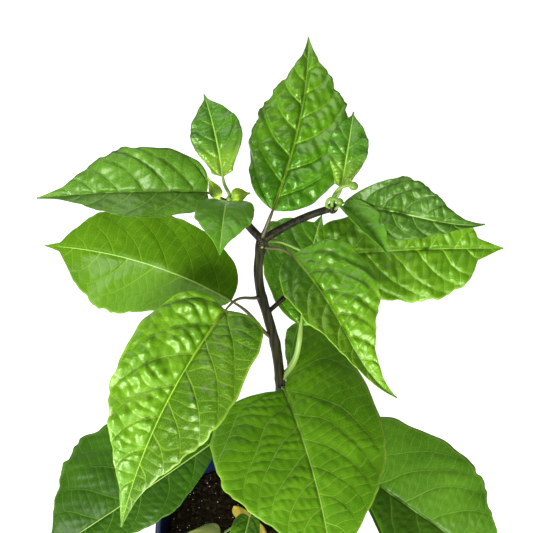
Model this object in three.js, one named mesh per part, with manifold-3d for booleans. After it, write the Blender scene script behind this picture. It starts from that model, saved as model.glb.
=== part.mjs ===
// Potted chilli pepper plant, built piece by piece in millimetres with +Z up.
// The origin is the centre of the pot's underside. The plant leans and turns its leaves
// towards a light in front of it and above it, along LIGHT.

import * as THREE from "three";
import { mergeVertices } from "three/addons/utils/BufferGeometryUtils.js";
import Module from "manifold-3d";

const wasm = await Module();
wasm.setup();

// Driving dimensions of the pot and the soil
const POT_HEIGHT = 115;
const RIM_RADIUS = 67;
const BASE_RADIUS = 50;
const WALL = 1.6;
const RIM_DEPTH = 9;
const RIM_LIP = 2.4;
const FLOOR_HEIGHT = 5;
const FOOT_RADIUS = 17;
const CHANNEL_HEIGHT = 2.4;
const DRAIN_RADIUS = 4;
const DRAIN_COUNT = 6;
const DRAIN_RING = 31;
const POT_SEGMENTS = 28;
const SOIL_LEVEL = 100;
const SOIL_RELIEF = 1.6;

// Driving dimensions of the plant
const LIGHT = new THREE.Vector3(0, -1, 1).normalize();
const BLADE = 0.7;
const SEAT_GAP = 0.3;
const STEM_FOOT = new THREE.Vector3(0, 0, -1);
const STEM_RADIUS = 3.5;
const FORK = new THREE.Vector3(-10, 0, 347);
const FORK_RADIUS = 2.4;
const LEFT_NODE = new THREE.Vector3(-25, 3, 369);
const RIGHT_NODE = new THREE.Vector3(23, 1, 367);

// Where the stem stands in the pot: stem, leaves and buds are measured from here
const PLANT_OFFSET = [18, 4, 35];
const TWIG_RADIUS = 2.1;
const TWIG_TIP_RADIUS = 1.6;
const KNOT_RADIUS = 2.7;

const at = (x, y, z) => new THREE.Vector3(x, y, z);
const degrees = THREE.MathUtils.degToRad;

// A mesh with merged corners becomes a solid, so that pieces can be joined and cut
function toSolid(geometry) {
  const bare = geometry.clone();
  bare.deleteAttribute("normal");
  bare.deleteAttribute("uv");
  const merged = mergeVertices(bare, 1e-4);
  const vertProperties = new Float32Array(merged.attributes.position.array);
  const triVerts = new Uint32Array(merged.index.array);
  return new wasm.Manifold(new wasm.Mesh({ numProp: 3, vertProperties, triVerts }));
}

function toGeometry(solid) {
  const mesh = solid.getMesh();
  const geometry = new THREE.BufferGeometry();
  geometry.setAttribute("position", new THREE.BufferAttribute(mesh.vertProperties, 3));
  geometry.setIndex(new THREE.BufferAttribute(mesh.triVerts, 1));
  geometry.computeVertexNormals();
  return geometry;
}

function fromPoints(points, triangles) {
  const geometry = new THREE.BufferGeometry().setFromPoints(points);
  geometry.setIndex(triangles);
  return geometry;
}

// A tapering closed tube along a curve, with its radius given by a rule
function tube(curve, radiusAt, steps, sides) {
  const frames = curve.computeFrenetFrames(steps, false);
  const points = [];
  const triangles = [];
  for (let k = 0; k <= steps; k++) {
    const centre = curve.getPointAt(k / steps);
    for (let i = 0; i < sides; i++) {
      const angle = (i / sides) * 2 * Math.PI;
      const reach = radiusAt(k / steps);
      points.push(centre.clone()
        .addScaledVector(frames.normals[k], reach * Math.cos(angle))
        .addScaledVector(frames.binormals[k], reach * Math.sin(angle)));
    }
  }
  for (let k = 0; k < steps; k++) {
    for (let i = 0; i < sides; i++) {
      const a = k * sides + i;
      const b = k * sides + ((i + 1) % sides);
      triangles.push(a, b, b + sides, a, b + sides, a + sides);
    }
  }
  const last = steps * sides;
  for (let i = 1; i < sides - 1; i++) {
    triangles.push(0, i + 1, i);
    triangles.push(last, last + i, last + i + 1);
  }
  return fromPoints(points, triangles);
}

// A closed sheet between two grids of points, split into triangles alike on both faces
function sheet(top, bottom) {
  const rows = top.length;
  const columns = top[0].length;
  const under = rows * columns;
  const points = [...top.flat(), ...bottom.flat()];
  const triangles = [];
  for (let r = 0; r < rows - 1; r++) {
    for (let c = 0; c < columns - 1; c++) {
      const a = r * columns + c;
      const b = a + 1;
      const d = a + columns;
      const e = d + 1;
      triangles.push(a, b, e, a, e, d);
      triangles.push(under + a, under + e, under + b, under + a, under + d, under + e);
    }
  }
  const edge = [];
  for (let c = 0; c < columns - 1; c++) edge.push(c);
  for (let r = 0; r < rows - 1; r++) edge.push(r * columns + columns - 1);
  for (let c = columns - 1; c > 0; c--) edge.push((rows - 1) * columns + c);
  for (let r = rows - 1; r > 0; r--) edge.push(r * columns);
  edge.forEach((a, i) => {
    const b = edge[(i + 1) % edge.length];
    triangles.push(a, under + a, under + b, a, under + b, b);
  });
  return fromPoints(points, triangles);
}

// The midrib is an arc from base to tip: its arch, bend and late swerve are heights in
// millimetres off the straight line, and its face looks at the light, rolled by an angle
function midrib(leaf, t) {
  const chord = leaf.tip.clone().sub(leaf.base);
  const along = chord.clone().normalize();
  const facing = LIGHT.clone().addScaledVector(along, -LIGHT.dot(along)).normalize();
  const across = along.clone().cross(facing);
  const roll = degrees(leaf.roll);
  const up = facing.clone().multiplyScalar(Math.cos(roll)).addScaledVector(across, Math.sin(roll));
  const side = across.clone().multiplyScalar(Math.cos(roll)).addScaledVector(facing, -Math.sin(roll));
  const early = 4 * t * (1 - t);
  const late = 9.5 * t ** 3 * (1 - t);
  const earlySlope = 4 - 8 * t;
  const lateSlope = 9.5 * (3 * t ** 2 - 4 * t ** 3);
  const point = leaf.base.clone().addScaledVector(chord, t)
    .addScaledVector(up, leaf.arch * early + leaf.hook * late)
    .addScaledVector(side, leaf.bend * early + leaf.swerve * late);
  const tangent = chord
    .addScaledVector(up, leaf.arch * earlySlope + leaf.hook * lateSlope)
    .addScaledVector(side, leaf.bend * earlySlope + leaf.swerve * lateSlope)
    .normalize();
  const right = tangent.clone().cross(up).normalize();
  return { point, tangent, right, up: right.clone().cross(tangent) };
}

const smoothStep = (x) => THREE.MathUtils.smoothstep(x, 0, 1);

// Half-width of the blade as a share of its widest: a blunt oval that meets a narrow drip tip
function outline(leaf, u) {
  const { widest, end, rise, drip } = leaf;
  const fall = rise * (end - widest) / widest;
  const body = (u / widest) ** rise * (Math.max(1 - u / end, 0) / (1 - widest / end)) ** fall;
  const tail = drip * (1 - u) * smoothStep((u - widest) / 0.5);
  return (body ** 4 + tail ** 4) ** 0.25;
}

// A point of the blade and the direction its face looks: u runs from base to tip along the
// side veins' feet, and v from the left margin at -1 to the right margin at 1
function bladePoint(leaf, u, v) {
  const half = v < 0 ? 0 : 1;
  const turn = half ? 1 : 0;
  const share = Math.abs(v);
  const sign = Math.sign(v);
  const reach = leaf.half[half];
  const neck = BLADE / reach;
  const scallop = 1 + leaf.scallop * share ** 3 * Math.sin(12 * Math.PI * u + leaf.phase + 2 * turn);
  const width = reach * Math.hypot(outline(leaf, u), neck) * scallop;
  const sweep = -leaf.lobe[half] + (leaf.sweep + leaf.lobe[half]) * smoothStep(u / 0.32);
  const forward = width * share * sweep * (1 + 0.3 * v * v) * (1 - u ** 3);
  const t = u + forward / leaf.base.distanceTo(leaf.tip);
  const frame = midrib(leaf, t);
  const fold = degrees(leaf.fold[half]) * (1 - leaf.open * THREE.MathUtils.clamp(t, 0, 1));
  const curl = degrees(leaf.curl[half]);
  const arc = share * width / reach;
  const angle = fold + curl * arc;
  const out = reach / curl * (Math.sin(angle) - Math.sin(fold));
  const wave = leaf.ripple * v * v * (width / reach)
    * Math.sin(2 * Math.PI * leaf.waves * u + leaf.phase + 1.9 * turn);
  const lift = reach / curl * (Math.cos(fold) - Math.cos(angle)) + wave;
  const point = frame.point.addScaledVector(frame.right, sign * out).addScaledVector(frame.up, lift);
  const normal = frame.up.clone().multiplyScalar(Math.cos(angle))
    .addScaledVector(frame.right, -sign * Math.sin(angle));
  return { point, normal };
}

// Stations along the blade lie closer together at its base and tip
function blade(leaf) {
  const top = [];
  const bottom = [];
  for (let k = 0; k <= leaf.stations; k++) {
    const u = (1 - Math.cos(Math.PI * k / leaf.stations)) / 2;
    const upper = [];
    const lower = [];
    for (let j = -leaf.columns; j <= leaf.columns; j++) {
      const { point, normal } = bladePoint(leaf, u, j / leaf.columns);
      upper.push(point.clone().addScaledVector(normal, BLADE / 2));
      lower.push(point.clone().addScaledVector(normal, -BLADE / 2));
    }
    top.push(upper);
    bottom.push(lower);
  }
  return sheet(top, bottom);
}

// The stalk leaves the stem, curves to the blade's base and runs on under it as the midrib
function stalk(leaf) {
  const { point: foot, tangent } = midrib(leaf, 0);
  const reach = foot.distanceTo(leaf.node);
  const leave = (leaf.leave ?? foot.clone().sub(leaf.node)).clone().normalize();
  const petiole = new THREE.CubicBezierCurve3(
    leaf.node,
    leaf.node.clone().addScaledVector(leave, 0.4 * reach),
    foot.clone().addScaledVector(tangent, -0.4 * reach),
    foot.clone());
  const route = petiole.getPoints(4).slice(0, -1);
  const ribRadius = leaf.stalk * 0.75;
  for (const t of [0.02, 0.2, 0.4, 0.62]) {
    const rib = midrib(leaf, t);
    route.push(rib.point.addScaledVector(rib.up, -0.6 * ribRadius * (1 - t)));
  }
  const curve = new THREE.CatmullRomCurve3(route, false, "centripetal");
  const radiusAt = (s) => leaf.stalk * (1 - 0.75 * s);
  return tube(curve, radiusAt, leaf.stations, 5);
}

// Main stem, its two twigs and the cut stub of a lost leaf
const stemCurve = new THREE.CatmullRomCurve3([
  STEM_FOOT, at(0, 0, 100), at(1, 0, 165), at(1, 0, 215), at(0, 0, 236), at(-3, 0, 268),
  at(-7, 0, 290), at(-11, 0, 311), at(-12, 0, 329), FORK,
], false, "centripetal");
const leftTwig = new THREE.QuadraticBezierCurve3(FORK, at(-19, 2, 357), LEFT_NODE);
const rightTwig = new THREE.QuadraticBezierCurve3(FORK, at(6, 2, 360), RIGHT_NODE);
const cutStub = new THREE.LineCurve3(at(-8, 0, 294), at(2, 3, 304));

// The swollen knot at the end of a twig, from which its leaves and buds leave
function knot(centre, extra) {
  const ball = new THREE.IcosahedronGeometry(KNOT_RADIUS + extra, 1);
  return toSolid(ball.translate(centre.x, centre.y, centre.z));
}

function stemSolid(extra) {
  const mainRadius = (s) => THREE.MathUtils.lerp(STEM_RADIUS, FORK_RADIUS, s) + extra;
  const twigRadius = (s) => THREE.MathUtils.lerp(TWIG_RADIUS, TWIG_TIP_RADIUS, s) + extra;
  const stubRadius = () => 1.3 + extra;
  return toSolid(tube(stemCurve, mainRadius, 20, 8))
    .add(toSolid(tube(leftTwig, twigRadius, 5, 6)))
    .add(toSolid(tube(rightTwig, twigRadius, 6, 6)))
    .add(toSolid(tube(cutStub, stubRadius, 2, 6)))
    .add(knot(LEFT_NODE, extra))
    .add(knot(RIGHT_NODE, extra));
}

const stem = stemSolid(0);
const stemRoom = stemSolid(SEAT_GAP);

function leafSolid(leaf) {
  return toSolid(blade(leaf)).add(toSolid(stalk(leaf))).subtract(stemRoom);
}

// A flower bud nods on a thin stalk: one tube that swells into the calyx and closes round
function budSolid(bud) {
  const curve = new THREE.CatmullRomCurve3(bud.path, false, "centripetal");
  const length = curve.getLength();
  const radiusAt = (s) => {
    const left = (1 - s) * length;
    const head = bud.head * Math.sqrt(Math.max(0.02, 1 - ((left - bud.head) / bud.head) ** 2));
    const swollen = left < bud.head ? head : bud.head * Math.exp(-(((left - bud.head) / bud.head) ** 2));
    return Math.max(swollen, left < bud.head ? 0.15 : bud.stalk);
  };
  return toSolid(tube(curve, radiusAt, 16, 8)).subtract(stemRoom);
}

// The pot is one turned wall: rolled rim, tapering side, floor, and a flat foot with a ring
// of drain holes in the shallow channel round it
function potSolid() {
  const innerRim = RIM_RADIUS - RIM_LIP;
  const taper = (RIM_RADIUS - RIM_LIP - BASE_RADIUS) / POT_HEIGHT;
  const sideAt = (z) => BASE_RADIUS + taper * z;
  const profile = [
    [0, 0], [FOOT_RADIUS, 0], [FOOT_RADIUS + 1, CHANNEL_HEIGHT], [BASE_RADIUS - 6, CHANNEL_HEIGHT],
    [BASE_RADIUS - 5, 0], [BASE_RADIUS - 1, 0], [BASE_RADIUS, 1],
    [sideAt(POT_HEIGHT - RIM_DEPTH), POT_HEIGHT - RIM_DEPTH],
    [RIM_RADIUS - 0.6, POT_HEIGHT - RIM_DEPTH], [RIM_RADIUS, POT_HEIGHT - RIM_DEPTH + 0.8],
    [RIM_RADIUS, POT_HEIGHT - 1], [RIM_RADIUS - 1, POT_HEIGHT], [innerRim - 0.6, POT_HEIGHT],
    [innerRim - WALL, POT_HEIGHT - 1.4], [sideAt(FLOOR_HEIGHT) - WALL, FLOOR_HEIGHT + 1],
    [sideAt(FLOOR_HEIGHT) - WALL - 1, FLOOR_HEIGHT], [0, FLOOR_HEIGHT],
  ].map(([x, y]) => new THREE.Vector2(x, y));
  const turned = new THREE.LatheGeometry(profile, POT_SEGMENTS).rotateX(Math.PI / 2);
  let pot = toSolid(turned);
  for (let i = 0; i < DRAIN_COUNT; i++) {
    const angle = ((i + 0.5) / DRAIN_COUNT) * 2 * Math.PI;
    const drain = new THREE.CylinderGeometry(DRAIN_RADIUS, DRAIN_RADIUS, 4 * FLOOR_HEIGHT, 8)
      .rotateX(Math.PI / 2)
      .translate(DRAIN_RING * Math.cos(angle), DRAIN_RING * Math.sin(angle), 0);
    pot = pot.subtract(toSolid(drain));
  }
  return pot;
}

// Height of the lumpy soil: two crossing swells and a finer one, low at the pot's wall
function soilHeight(x, y) {
  const swell = Math.sin(0.13 * x + 1) * Math.cos(0.11 * y) + 0.6 * Math.sin(0.21 * x - 0.17 * y);
  return SOIL_LEVEL + SOIL_RELIEF * swell;
}

function soilSolid() {
  const segments = 28;
  const rings = [10, 20, 30, 40, 49, 56];
  const taper = (RIM_RADIUS - RIM_LIP - BASE_RADIUS) / POT_HEIGHT;
  const wallAt = (z) => BASE_RADIUS + taper * z - WALL - SEAT_GAP - 0.2;
  const top = wallAt(SOIL_LEVEL - 2);
  const points = [at(0, 0, soilHeight(0, 0))];
  const ring = (radius, height) => {
    for (let i = 0; i < segments; i++) {
      const angle = (i / segments) * 2 * Math.PI;
      const x = radius * Math.cos(angle);
      const y = radius * Math.sin(angle);
      points.push(at(x, y, height(x, y)));
    }
  };
  rings.forEach((radius) => ring(radius, soilHeight));
  ring(top, (x, y) => soilHeight(x, y) - 1);
  ring(wallAt(FLOOR_HEIGHT + 2), () => FLOOR_HEIGHT + 2);
  ring(wallAt(FLOOR_HEIGHT) - 2, () => FLOOR_HEIGHT + SEAT_GAP);
  const rows = rings.length + 3;
  const triangles = [];
  for (let i = 0; i < segments; i++) {
    const next = (i + 1) % segments;
    triangles.push(0, 1 + i, 1 + next);
    for (let r = 0; r < rows - 1; r++) {
      const a = 1 + r * segments + i;
      const b = 1 + r * segments + next;
      triangles.push(a, a + segments, b + segments, a, b + segments, b);
    }
  }
  const last = 1 + (rows - 1) * segments;
  for (let i = 1; i < segments - 1; i++) triangles.push(last, last + i + 1, last + i);
  return toSolid(fromPoints(points, triangles)).subtract(stemRoom.translate(PLANT_OFFSET));
}

// A fallen leaf lies on the soil and follows its lumps, lifted towards one side
function fallenLeafSolid(leaf) {
  const top = [];
  const bottom = [];
  const ahead = at(Math.cos(degrees(leaf.heading)), Math.sin(degrees(leaf.heading)), 0);
  const across = at(-ahead.y, ahead.x, 0);
  for (let k = 0; k <= 8; k++) {
    const u = (1 - Math.cos(Math.PI * k / 8)) / 2;
    const width = leaf.half * Math.max(0.06, 2 * Math.sqrt(u * (1 - u)) * (1 - 0.35 * u));
    const upper = [];
    const lower = [];
    for (let j = -3; j <= 3; j++) {
      const v = j / 3;
      const point = leaf.base.clone().addScaledVector(ahead, leaf.length * u)
        .addScaledVector(across, width * v);
      const lift = leaf.rise * u * (1 - v) / 2 + 0.8 * (1 + Math.sin(7 * u + 2 * v));
      point.z = soilHeight(point.x, point.y) + leaf.clear + lift;
      lower.push(point);
      upper.push(point.clone().add(at(0, 0, BLADE)));
    }
    top.push(upper.reverse());
    bottom.push(lower.reverse());
  }
  return toSolid(sheet(top, bottom));
}

// What most leaves share: angles in degrees, heights in millimetres, pairs as left and right
const COMMON = {
  roll: 0, arch: 0, hook: 0, bend: 0, swerve: 0, half: [20, 20], fold: [12, 12], curl: [-20, -20],
  open: 0, widest: 0.28, rise: 0.5, end: 0.9, drip: 1.05, lobe: [0.3, 0.3], sweep: 0.42,
  ripple: 1.2, waves: 4, phase: 0, scallop: 0.02, stalk: 1.3, stations: 12, columns: 3,
};

const LEAVES = {
  crown_leaf: {
    node: at(-10, 0, 349), base: at(-5, 5, 362), tip: at(13, 81, 410), half: [21, 26],
    widest: 0.27, rise: 0.55, end: 0.98, bend: 4, arch: 6, curl: [-30, -30], lobe: [-0.1, -0.1],
  },
  left_upper_leaf: {
    node: LEFT_NODE, leave: at(-5, 0, 1), base: at(-36, 5, 373), tip: at(-115, 1, 373),
    half: [15, 21], roll: -10, arch: 7, bend: 2, fold: [55, 5], curl: [-20, -30],
    lobe: [0.1, 0.1], widest: 0.26,
  },
  left_lower_leaf: {
    node: at(-2, 0, 271), leave: at(-1, -0.1, 1), base: at(-26, -4, 308),
    tip: at(-120, 11, 333), half: [36, 29], arch: 3, bend: 6, fold: [-62, -8], open: 1.1,
    widest: 0.34, rise: 0.45, end: 0.93, lobe: [0, 0], sweep: 0.38, drip: 0.9,
  },
  right_upper_leaf: {
    node: RIGHT_NODE, leave: at(2, 0, 1), base: at(28, 0, 371), tip: at(91, -16, 372),
    half: [16.5, 12.5], arch: 8, bend: 0.5, swerve: 2, fold: [15, 15], widest: 0.26,
    lobe: [-0.75, -0.9],
  },
  right_lower_leaf: {
    node: at(-10, 0, 346), leave: at(3, 1, 0), base: at(22, 4, 333), tip: at(111, 8, 334),
    half: [22, 26], arch: 3, bend: -1, widest: 0.38, lobe: [0.5, 0.3], sweep: 0.3, end: 0.84,
    rise: 0.4, drip: 1.5,
  },
  centre_leaf: {
    node: at(-10, 0, 343), base: at(4, -15, 351), tip: at(51, -72, 317), half: [26, 17],
    roll: -20, arch: 8, bend: 1, swerve: 5, fold: [26, 20], widest: 0.2, sweep: 0.3,
    end: 0.86, lobe: [-0.1, -0.1], drip: 1,
  },
  front_left_leaf: {
    node: at(-11, 0, 307), base: at(-28, -22, 321), tip: at(-79, -97, 246), half: [29, 30],
    arch: 10, bend: 6, fold: [26, 14], widest: 0.22, rise: 0.4, lobe: [0.3, 0.05],
  },
  front_leaf: {
    node: at(1, 0, 229), base: at(2, -7, 237), tip: at(28, -101, 195), half: [47, 51],
    roll: -14, arch: 8, bend: -2, fold: [8, 8], widest: 0.24, rise: 0.42, end: 0.98,
    lobe: [1.2, 0.1], sweep: 0.17, stalk: 1.6,
  },
  low_left_leaf: {
    node: at(0, 0, 195), base: at(-35, -6, 190), tip: at(-146, -67, 149), half: [20, 46],
    arch: 8, fold: [24, 0], widest: 0.3, lobe: [-1, 0.3], stalk: 1.6,
  },
  low_right_leaf: {
    node: at(0, 0, 175), base: at(45, -10, 163), tip: at(153, -74, 128), half: [45, 40],
    arch: 8, fold: [0, 55], open: 0.3, widest: 0.22, end: 0.85, lobe: [0.4, -0.8], stalk: 1.6,
  },
  back_upper_leaf: {
    node: at(1, 0, 240), leave: at(2, 0, 3), base: at(11, 10, 273), tip: at(24, 71, 300),
    half: [30, 24], arch: 3, bend: -2, widest: 0.46, rise: 0.7, lobe: [-0.1, 0.2], stalk: 1.9,
  },
  back_lower_leaf: {
    node: at(0, 0, 205), base: at(14, 18, 196), tip: at(16, 64, 214), half: [12, 14], arch: 3,
    widest: 0.6, end: 1, drip: 0.3, stations: 10, columns: 2,
  },
  left_shoot_leaf: {
    node: LEFT_NODE, leave: at(0, 1, 3), base: at(-28, 2, 385), tip: at(-37, 34, 408),
    half: [11.5, 12.5], widest: 0.42, rise: 0.9, end: 0.96, lobe: [-0.2, -0.2], sweep: 0.2,
    arch: 2, bend: 1, ripple: 0.9, waves: 5, stalk: 1.2, stations: 10, columns: 2,
  },
  right_shoot_leaf: {
    node: RIGHT_NODE, leave: at(0, 1, 1), base: at(27, 5, 376), tip: at(33, 33, 399),
    half: [9.5, 9.5], widest: 0.45, rise: 0.9, end: 0.96, lobe: [-0.2, -0.2], sweep: 0.2,
    arch: 2, ripple: 0.9, waves: 5, stalk: 0.8, stations: 10, columns: 2,
  },
  heart_leaf: {
    node: LEFT_NODE, leave: at(0, -5, 1), base: at(-26, -9, 378), tip: at(-28, -43, 379),
    half: [13, 13], arch: 6, fold: [10, 10], widest: 0.26, drip: 1.6, lobe: [0.9, 0.9],
    ripple: 0.4, stalk: 0.8, stations: 10, columns: 2,
  },
  folded_leaf: {
    node: RIGHT_NODE, leave: at(2, -3, 0), base: at(27, -4, 372), tip: at(48, -30, 363),
    half: [9.5, 9.5], arch: 2, bend: -1, fold: [15, 80], lobe: [0, 0], ripple: 0.3,
    stalk: 0.8, stations: 10, columns: 2,
  },
  tiny_upright_leaf: {
    node: LEFT_NODE, leave: at(-6, -5, 7), base: at(-30, 1, 373), tip: at(-35, 2, 385),
    half: [3, 3], arch: 1, fold: [30, 30], lobe: [-0.2, -0.2], sweep: 0.2, ripple: 0,
    stalk: 0.6, stations: 8, columns: 1,
  },
  tiny_curled_leaf: {
    node: LEFT_NODE, leave: at(2, -1, 1), base: at(-24, 1, 374), tip: at(-15.5, 0, 377),
    half: [3.4, 3.4], arch: 2, hook: -1, lobe: [0, 0], sweep: 0.2, ripple: 0, stalk: 0.6,
    stations: 8, columns: 1,
  },
  small_low_leaf: {
    node: at(0, 0, 116), base: at(-19, -22, 122), tip: at(-26, -48, 115), half: [9, 10],
    arch: 3, widest: 0.3, ripple: 0.6, stalk: 0.9, stations: 10, columns: 2,
  },
  round_low_leaf: {
    node: at(0, 0, 107), leave: at(-1, -1, 0), base: at(-37, -38, 127),
    tip: at(-81, -69, 133), half: [16, 16], arch: 9, widest: 0.4, end: 1, drip: 0.3,
    curl: [-10, -10], ripple: 0.5, stalk: 0.9, stations: 10, columns: 2,
  },
};

const FALLEN_LEAF = {
  base: at(-14, 21, 0), heading: -44, length: 34, half: 6, rise: 2, clear: 0.5,
};

const BUDS = {
  upper_flower_bud: {
    path: [
      RIGHT_NODE, at(22.5, -0.5, 371), at(23, -0.5, 375), at(25.5, -1, 380.5), at(29, -1, 382.5),
      at(34, -1, 381.5),
    ],
    head: 1.9, stalk: 0.8,
  },
  lower_flower_bud: {
    path: [
      RIGHT_NODE, at(20, -2, 371), at(20.5, -3.5, 376), at(23, -5.5, 378.5), at(27, -7, 376.5),
    ],
    head: 1.5, stalk: 0.7,
  },
};

// Materials
const finish = (color, roughness) => new THREE.MeshStandardMaterial({
  color, roughness, metalness: 0,
});
const potPlastic = finish("#1d3560", 0.45);
const soilMix = finish("#2a2018", 0.95);
const stemBark = finish("#4a4a30", 0.55);
const oldLeaf = finish("#4f8a22", 0.4);
const fullLeaf = finish("#5f9e24", 0.35);
const youngLeaf = finish("#77b540", 0.4);
const yellowLeaf = finish("#b5ad3a", 0.6);
const budGreen = finish("#8fb85a", 0.45);

const LEAF_FINISH = {
  low_left_leaf: oldLeaf, low_right_leaf: oldLeaf, back_lower_leaf: oldLeaf,
  small_low_leaf: oldLeaf, round_low_leaf: oldLeaf, left_shoot_leaf: youngLeaf,
  right_shoot_leaf: youngLeaf, heart_leaf: youngLeaf, folded_leaf: youngLeaf,
  tiny_upright_leaf: youngLeaf, tiny_curled_leaf: youngLeaf,
};

// Assembly
const plant = new THREE.Group();

function place(name, solid, material) {
  const mesh = new THREE.Mesh(toGeometry(solid), material);
  mesh.name = name;
  plant.add(mesh);
}

place("pot", potSolid(), potPlastic);
place("soil", soilSolid(), soilMix);
place("stem", stem.translate(PLANT_OFFSET), stemBark);
for (const [name, row] of Object.entries(LEAVES)) {
  const leaf = leafSolid({ ...COMMON, ...row }).translate(PLANT_OFFSET);
  place(name, leaf, LEAF_FINISH[name] ?? fullLeaf);
}
place("fallen_leaf", fallenLeafSolid(FALLEN_LEAF), yellowLeaf);
for (const [name, bud] of Object.entries(BUDS)) {
  place(name, budSolid(bud).translate(PLANT_OFFSET), budGreen);
}

export default plant;
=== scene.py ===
"""Blender scene of a potted chilli pepper plant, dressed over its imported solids.

Lengths are in millimetres until a mesh is made, with +Z up and the origin under the pot.
"""

import bmesh
import bpy
import numpy as np
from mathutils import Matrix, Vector


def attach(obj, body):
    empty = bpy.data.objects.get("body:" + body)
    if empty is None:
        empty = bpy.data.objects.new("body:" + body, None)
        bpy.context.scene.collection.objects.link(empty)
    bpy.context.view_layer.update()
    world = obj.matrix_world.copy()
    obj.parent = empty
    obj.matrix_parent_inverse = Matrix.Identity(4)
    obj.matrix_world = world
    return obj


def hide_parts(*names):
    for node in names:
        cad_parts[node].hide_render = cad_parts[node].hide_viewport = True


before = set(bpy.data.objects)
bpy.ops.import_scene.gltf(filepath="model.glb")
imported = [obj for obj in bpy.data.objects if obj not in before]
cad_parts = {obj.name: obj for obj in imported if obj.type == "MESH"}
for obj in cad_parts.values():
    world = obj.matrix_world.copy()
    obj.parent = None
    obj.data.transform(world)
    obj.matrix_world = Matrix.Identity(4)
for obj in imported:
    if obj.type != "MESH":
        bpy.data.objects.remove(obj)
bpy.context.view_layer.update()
random = np.random.default_rng(11)

MM = 0.001

# Pot and soil stand at the origin; all of the plant is set down with this shift
PLANT_OFFSET = np.array([18, 4, 35])

# Camera: it looks down at 45 degrees, as the photo does
PHOTO_SIDE = 533
FOCAL_PIXELS = 900
SENSOR = 36
CAMERA_TARGET = np.array([-8, 0, 329]) + PLANT_OFFSET
CAMERA_DISTANCE = 450
TILT = np.radians(45)
AIM = np.array([-8, 0, 263])
TOWARDS_CAMERA = np.array([0, -np.cos(TILT), np.sin(TILT)])

# Soil and pot
SOIL_LEVEL = 100
SOIL_RELIEF = 1.6
POT_HEIGHT = 115
RIM_RADIUS = 67
RIM_LIP = 2.4
RIM_DEPTH = 9
BASE_RADIUS = 50
WALL = 1.6
FLOOR_HEIGHT = 5
CHANNEL_HEIGHT = 2.4
FOOT_RADIUS = 17
DRAIN_RING = 31
DRAIN_RADIUS = 4
DRAIN_COUNT = 6
SOIL_FOOT = FLOOR_HEIGHT + 0.6
POT_SIDES = 144
SOIL_RINGS = 64
SOIL_SIDES = 200
POT_SLOTS = ("pot_plastic", "soil_mix", "yellow_leaf")

# Leaf blades: thickness, furrows, side veins with the rungs between them, and the midrib
BLADE = 0.36
RIM_BLADE = 0.16
MARGIN_SHARE = 0.06
SIDE_VEIN_GROOVE = 2.2
MIDRIB_GROOVE = 0.45
VEIN_LEAN = 0.6
VEIN_CURVE = 0.7
VEIN_WARP = 0.08
RUNG_SLANT = 0.26
RUNG_SHIFT = 0.37
RUNG_WARP = 0.3
RIB_START = 0.012
RIB_STOP = 0.93
LAMINA_UNIT = 10
NET_SCALE = 7.0
LEAF_SLOT = {
    "young": "young_leaf", "shoot": "young_leaf", "fresh": "young_leaf",
    "old": "old_leaf", "shade": "old_leaf", "dusty": "old_leaf",
}

# Stem and its nodes; each tiny bud has a start, stop, radius, point count and cut of its end
FLUTES = 5
STEM_RADIUS = 3.5
FORK_RADIUS = 2.2
TWIG_RADIUS = 2.1
TWIG_TIP_RADIUS = 1.6
KNOT_RADIUS = 2.7
NODE_SWELL = 0.35
HAIR_RADIUS = 0.09
FORK = (-10, 0, 347)
LEFT_NODE = (-25, 3, 369)
RIGHT_NODE = (23, 1, 367)
STEM_COURSE = [(0, 0, -1), (0, 0, 100), (1, 0, 165), (1, 0, 215), (0, 0, 236), (-3, 0, 268),
               (-7, 0, 290), (-11, 0, 311), (-12, 0, 329), FORK]
TWIGS = {"left_twig": (LEFT_NODE, (-19, 2, 357)), "right_twig": (RIGHT_NODE, (6, 2, 360))}
NODE_BUDS = {
    "fork_bud": ((-10, -1.8, 344.5), (-10.2, -3.2, 345.5), 0.75, 8, 0.9),
    "left_node_bud": ((-26.6, 1.8, 371.9), (-23.2, 1.6, 372.7), 1.5, 12, 0.95),
}
STUB = (-8, 0, 294), (2, 3, 304)
# Hairs: middle, reach of their feet, count, length and seed
HAIRS = {
    "right_node_hairs": (RIGHT_NODE, 1.6, 60, 3.0, 41),
    "left_node_hairs": (LEFT_NODE, 1.6, 40, 2.2, 42),
    "fork_hairs": (FORK, 2.0, 40, 1.8, 43),
    "front_node_hairs": ((1, -2, 231), 2.2, 80, 3.4, 44),
}

# Floor and lights, each light with its place, size and power
FLOOR_REACH = 4000
FLOOR_GLOW = 0.7
SKY_STRENGTH = 0.2
LIGHTS = {
    "key": ((-420, -1350, 480), 700, 31),
    "top": ((-400, 300, 1400), 900, 7),
}

# Leaf rows: lengths in millimetres, angles in degrees; a pair is the left and the right half
COMMON = dict(
    roll=0, arch=0, hook=0, bend=0, swerve=0, half=20, fold=12, curl=-20,
    open=0, widest=0.28, rise=0.5, end=0.9, drip=1.05, lobe=0.3, sweep=0.42, ripple=1.2,
    waves=4, scallop=0.02, stalk=0.9, leave=None, veins=7, pucker=1.8, rung=5, cells=0.6,
    tone="deep", shank="green", wing=0, rows=160, columns=68,
)
SMALL = dict(
    rows=90, columns=40, veins=5, pucker=0.7, rung=2.6, tone="young", stalk=0.8, ripple=0.4,
    scallop=0.01,
)

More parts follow.
